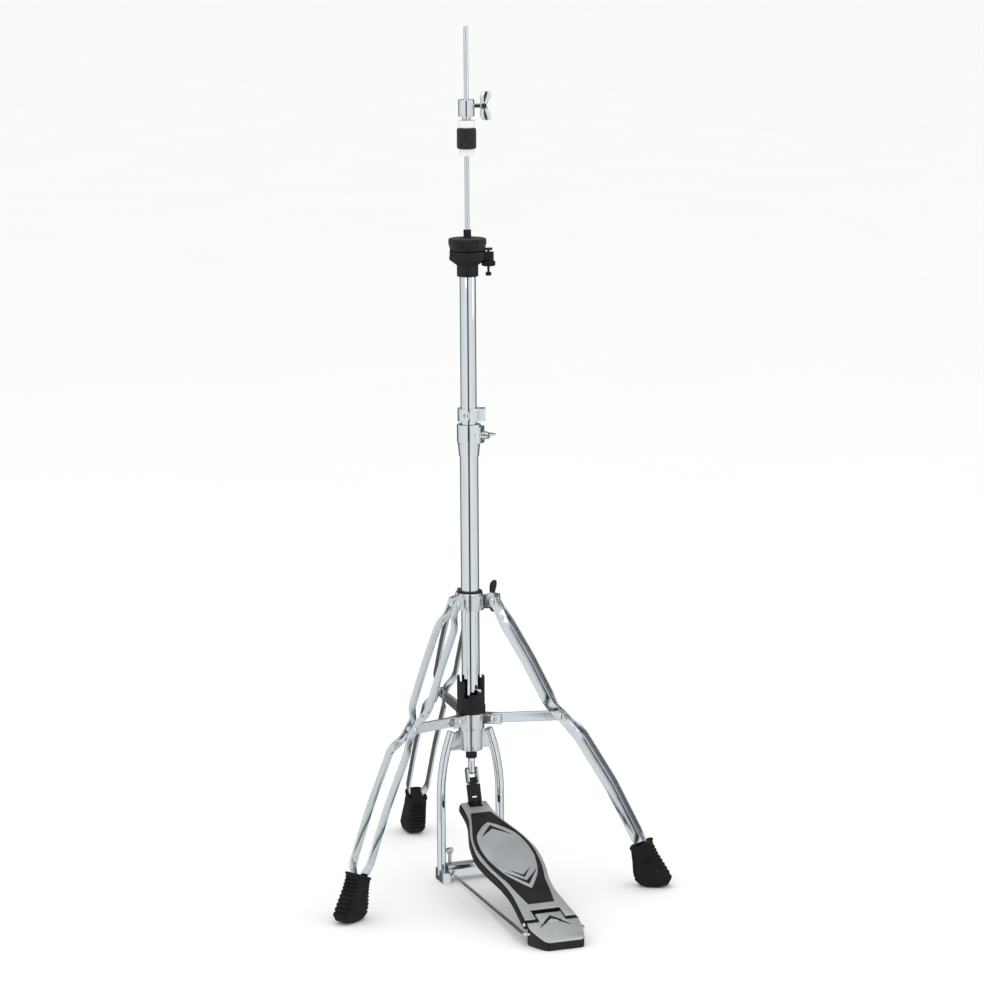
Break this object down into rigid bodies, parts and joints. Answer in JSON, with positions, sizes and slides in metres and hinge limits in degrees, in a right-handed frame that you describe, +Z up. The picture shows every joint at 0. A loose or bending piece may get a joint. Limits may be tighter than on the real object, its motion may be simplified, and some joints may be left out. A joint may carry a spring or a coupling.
{
  "type": "hi-hat stand",
  "caption": "Hi-hat cymbal stand with a folding double-strip tripod, telescoping tube, tilting cymbal seat, clutch, pull rod and chain-driven foot pedal.",
  "frame": {"origin": "point on the floor under the tube's axis, 6.8 mm below the crossbar's underside", "axes": "+Z up along the tube and pull rod, -Y from the tube towards the pedal's heel, +X to the right of a player facing +Y"},
  "size_m": [0.5032, 0.633, 1.188],
  "materials": {
    "chrome": "polished",
    "steel": "bright plated",
    "cast_silver": "plated casting",
    "silver_paint": "satin silver",
    "black_paint": "satin black",
    "black_nylon": "moulded",
    "rubber": "matte",
    "black_felt": "pressed felt",
    "white_nylon": "moulded"
  },
  "bodies": {
    "base": {"lower_tube": "chrome", "hub": "cast_silver", "guide_bush": "black_nylon", "yoke": "cast_silver", "crossbar": "cast_silver", "foot_blocks": "cast_silver", "radius_rods": "chrome", "heel_base": "black_paint", "heel_plate": "silver_paint", "hinge_pin": "chrome", "receiver": "chrome", "receiver_bush": "black_nylon", "return_spring": "steel"},
    "footboard": {"footboard_top": "silver_paint", "footboard_chassis": "black_paint", "grip_inset": "rubber", "toe_bracket": "black_paint"},
    "chain": {"chain_link": "steel", "connector": "black_paint"},
    "pull_rod": {"rod_eye": "chrome", "lower_rod": "chrome", "upper_rod": "chrome", "rod_coupling": "steel"},
    "tension_sleeve": {"tension_sleeve": "black_nylon"},
    "tension_pin": {"tension_pin": "chrome"},
    "lower_collar": {"lower_collar": "cast_silver", "strut_rivets": "chrome"},
    "leg_collar": {"leg_collar": "chrome", "collar_ring": "black_nylon", "leg_rivets": "chrome"},
    "upper_stand": {"upper_tube": "chrome", "memory_lock": "chrome", "seat_cup": "black_nylon", "top_bush": "black_nylon"},
    "tilter": {"tilt_plate": "steel", "seat_disc": "rubber", "seat_sleeve": "black_nylon"},
    "tilt_screw": {"tilt_screw": "black_nylon"},
    "tilt_nut": {"tilt_nut": "black_nylon"},
    "clutch": {"clutch_body": "chrome", "clutch_washer": "white_nylon", "clutch_felts": "black_felt"},
    "clutch_nut": {"clutch_nut": "white_nylon"},
    "clutch_wing": {"clutch_wing": "chrome"},
    "collar_wing": {"collar_wing": "black_paint"},
    "receiver_wing": {"receiver_wing": "chrome"},
    "spur_left": {"spur_left": "chrome"},
    "spur_right": {"spur_right": "chrome"},
    "right_leg": {"right_leg_near_strip": "steel", "right_leg_far_strip": "steel", "right_boot": "rubber"},
    "right_strut": {"right_strut": "steel"},
    "rear_leg": {"rear_leg_near_strip": "steel", "rear_leg_far_strip": "steel", "rear_boot": "rubber"},
    "rear_strut": {"rear_strut": "steel"},
    "left_leg": {"left_leg_near_strip": "steel", "left_leg_far_strip": "steel", "left_boot": "rubber"},
    "left_strut": {"left_strut": "steel"}
  },
  "joints": [
    {"name": "tripod_swivel", "type": "hinge", "parent": "base", "child": "lower_collar", "pos_m": [0, 0, 0.2283], "axis": [0, 0, 1], "range_deg": [-12, 12]},
    {"name": "tripod_fold", "type": "slide", "parent": "lower_collar", "child": "leg_collar", "axis": [0, 0, 1], "range_m": [0, 0.10895]},
    {"name": "footboard_press", "type": "hinge", "parent": "base", "child": "footboard", "pos_m": [0, -0.30375, 0.02475], "axis": [-1, 0, 0], "range_deg": [0, 10], "stiffness_Nm_per_rad": 40, "springref_deg": -9.74, "deforming": ["return_spring"]},
    {"name": "rod_travel", "type": "slide", "parent": "base", "child": "pull_rod", "axis": [0, 0, -1], "range_m": [0, 0.04973], "deforming": ["return_spring"]},
    {"name": "chain_swing", "type": "hinge", "parent": "pull_rod", "child": "chain", "pos_m": [0, 0, 0.1555], "axis": [1, 0, 0], "range_deg": [0, 16.46]},
    {"name": "height_slide", "type": "slide", "parent": "base", "child": "upper_stand", "axis": [0, 0, 1], "range_m": [0, 0.09]},
    {"name": "seat_tilt", "type": "hinge", "parent": "upper_stand", "child": "tilter", "pos_m": [-0.01973, 0.00718, 0.8805], "axis": [-0.342, -0.9397, 0], "range_deg": [-1.5, 1.5]},
    {"name": "tilt_screw_travel", "type": "slide", "parent": "upper_stand", "child": "tilt_screw", "axis": [0, 0, 1], "range_m": [-0.0013, 0.0013]},
    {"name": "tilt_nut_turn", "type": "hinge", "parent": "upper_stand", "child": "tilt_nut", "pos_m": [0.02669, -0.00971, 0.868], "axis": [0, 0, 1], "continuous": true},
    {"name": "clutch_slide", "type": "slide", "parent": "pull_rod", "child": "clutch", "axis": [0, 0, 1], "range_m": [-0.04, 0.06]},
    {"name": "clutch_nut_turn", "type": "hinge", "parent": "clutch", "child": "clutch_nut", "pos_m": [0, 0, 1.0187], "axis": [0, 0, 1], "continuous": true},
    {"name": "clutch_wing_turn", "type": "hinge", "parent": "clutch", "child": "clutch_wing", "pos_m": [0.01879, -0.00684, 1.0816], "axis": [0.9397, -0.342, 0], "continuous": true},
    {"name": "collar_wing_turn", "type": "hinge", "parent": "leg_collar", "child": "collar_wing", "pos_m": [0.0381, 0.022, 0.3967], "axis": [0.866, 0.5, 0], "continuous": true},
    {"name": "receiver_wing_turn", "type": "hinge", "parent": "base", "child": "receiver_wing", "pos_m": [0.01556, -0.01556, 0.6324], "axis": [0.7071, -0.7071, 0], "continuous": true},
    {"name": "tension_turn", "type": "hinge", "parent": "base", "child": "tension_sleeve", "pos_m": [0, 0, 0.26], "axis": [0, 0, 1], "range_deg": [-19.02, 19.02]},
    {"name": "tension_pin_travel", "type": "slide", "parent": "base", "child": "tension_pin", "axis": [0, 0, 1], "range_m": [-0.0037, 0.0037]},
    {"name": "spur_left_travel", "type": "slide", "parent": "base", "child": "spur_left", "axis": [0, 0, 1], "range_m": [-0.004, 0.012]},
    {"name": "spur_right_travel", "type": "slide", "parent": "base", "child": "spur_right", "axis": [0, 0, 1], "range_m": [-0.004, 0.012]},
    {"name": "right_leg_hinge", "type": "hinge", "parent": "leg_collar", "child": "right_leg", "pos_m": [0.02918, -0.01685, 0.4002], "axis": [0.5, 0.866, 0], "range_deg": [0, 23.07]},
    {"name": "right_strut_hinge", "type": "hinge", "parent": "lower_collar", "child": "right_strut", "pos_m": [0.02832, -0.01635, 0.2333], "axis": [-0.5, -0.866, 0], "range_deg": [0, 70.91]},
    {"name": "rear_leg_hinge", "type": "hinge", "parent": "leg_collar", "child": "rear_leg", "pos_m": [0, 0.0337, 0.4002], "axis": [-1, 0, 0], "range_deg": [0, 23.07]},
    {"name": "rear_strut_hinge", "type": "hinge", "parent": "lower_collar", "child": "rear_strut", "pos_m": [0, 0.0327, 0.2333], "axis": [1, 0, 0], "range_deg": [0, 70.91]},
    {"name": "left_leg_hinge", "type": "hinge", "parent": "leg_collar", "child": "left_leg", "pos_m": [-0.02918, -0.01685, 0.4002], "axis": [0.5, -0.866, 0], "range_deg": [0, 23.07]},
    {"name": "left_strut_hinge", "type": "hinge", "parent": "lower_collar", "child": "left_strut", "pos_m": [-0.02832, -0.01635, 0.2333], "axis": [-0.5, 0.866, 0], "range_deg": [0, 70.91]}
  ],
  "couplings": [
    {"joint": "rod_travel", "follows": "footboard_press", "m_per_rad": 0.28482},
    {"joint": "chain_swing", "follows": "footboard_press", "ratio": 1.6453},
    {"joint": "tilt_screw_travel", "follows": "seat_tilt", "m_per_rad": 0.0494},
    {"joint": "tension_turn", "follows": "tension_pin_travel", "rad_per_m": -89.625},
    {"joint": "right_leg_hinge", "follows": "tripod_fold", "rad_per_m": 3.6938},
    {"joint": "right_strut_hinge", "follows": "tripod_fold", "rad_per_m": 11.357},
    {"joint": "rear_leg_hinge", "follows": "tripod_fold", "rad_per_m": 3.6938},
    {"joint": "rear_strut_hinge", "follows": "tripod_fold", "rad_per_m": 11.357},
    {"joint": "left_leg_hinge", "follows": "tripod_fold", "rad_per_m": 3.6938},
    {"joint": "left_strut_hinge", "follows": "tripod_fold", "rad_per_m": 11.357}
  ]
}
